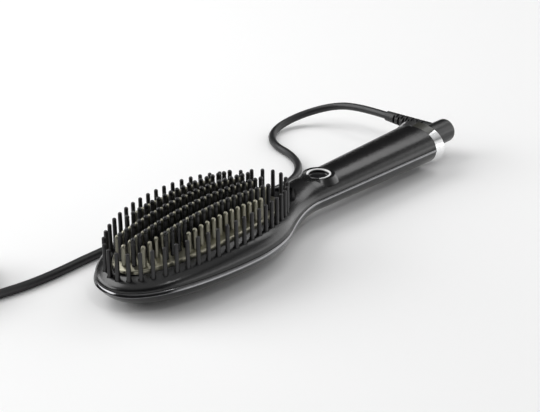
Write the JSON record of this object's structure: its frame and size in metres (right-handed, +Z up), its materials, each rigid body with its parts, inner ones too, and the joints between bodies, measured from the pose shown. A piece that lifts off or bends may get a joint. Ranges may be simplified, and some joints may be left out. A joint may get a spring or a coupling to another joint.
{
  "type": "heated hair brush",
  "caption": "Heated paddle brush lying on its back, with an oval field of bristles over a metal plate, a power button and a swivelling mains lead.",
  "frame": {"origin": "under the middle of the brush, on the surface that it lies on", "axes": "+X along the brush towards the end of the handle, +Y across it, +Z up towards the bristles"},
  "size_m": [0.3773, 0.2088, 0.0432],
  "materials": {
    "soft_touch": "soft-touch matt black moulding",
    "gloss_cover": "polished black moulding",
    "frame_black": "matt black moulding",
    "bristle_black": "semi-gloss black nylon",
    "plate_metal": "champagne-coloured ceramic coating on cast aluminium",
    "ceramic_white": "fired ceramic",
    "clamp_steel": "stamped steel",
    "mica": "pressed mica sheet",
    "board_green": "solder-mask green",
    "relay_black": "moulded housing",
    "capacitor_sleeve": "shrink sleeve",
    "switch_steel": "plain steel",
    "button_gloss": "polished black cap",
    "silicone": "translucent silicone",
    "chrome": "bright chrome plating",
    "inlay_grey": "plain dark inlay",
    "cap_black": "matt black moulding",
    "swivel_black": "matt black moulding",
    "retainer_steel": "spring steel",
    "relief_rubber": "flexible black sleeve",
    "cord_rubber": "round black lead",
    "tie_rubber": "black strap",
    "plug_black": "moulded black plug",
    "pin_brass": "nickel-plated brass"
  },
  "bodies": {
    "handle": {"front_housing": "soft_touch", "rear_cover": "gloss_cover", "outer_bristles": "bristle_black", "heater_plate": "plate_metal", "bristle_comb_1": "bristle_black", "bristle_comb_2": "bristle_black", "bristle_comb_3": "bristle_black", "bristle_comb_4": "bristle_black", "plate_frame": "frame_black", "heating_element_1": "ceramic_white", "heating_element_2": "ceramic_white", "temperature_sensor": "ceramic_white", "thermal_fuse": "switch_steel", "heater_clamp": "clamp_steel", "clamp_screws": "clamp_steel", "heat_shield": "mica", "control_board": "board_green", "button_switch": "switch_steel", "power_relay": "relay_black", "capacitor": "capacitor_sleeve", "button_return": "silicone", "button_bezel": "chrome", "end_cap": "cap_black", "band_inlay": "inlay_grey", "end_band": "chrome", "cord": "cord_rubber", "cord_coil": "cord_rubber", "cord_tie": "tie_rubber", "plug": "plug_black", "plug_pins": "pin_brass"},
    "swivel": {"swivel_stub": "swivel_black", "swivel_retainer": "retainer_steel", "strain_relief": "relief_rubber"},
    "button": {"power_button": "button_gloss"}
  },
  "joints": [
    {"name": "swivel_turn", "type": "hinge", "parent": "handle", "child": "swivel", "pos_m": [0.1168, 0, 0.0142], "axis": [1, 0, 0], "continuous": true},
    {"name": "power_button_press", "type": "slide", "parent": "handle", "child": "button", "axis": [0, 0, -1], "range_m": [0, 0.0006], "stiffness_N_per_m": 2000, "springref_m": -0.0004, "deforming": ["button_return"]}
  ]
}
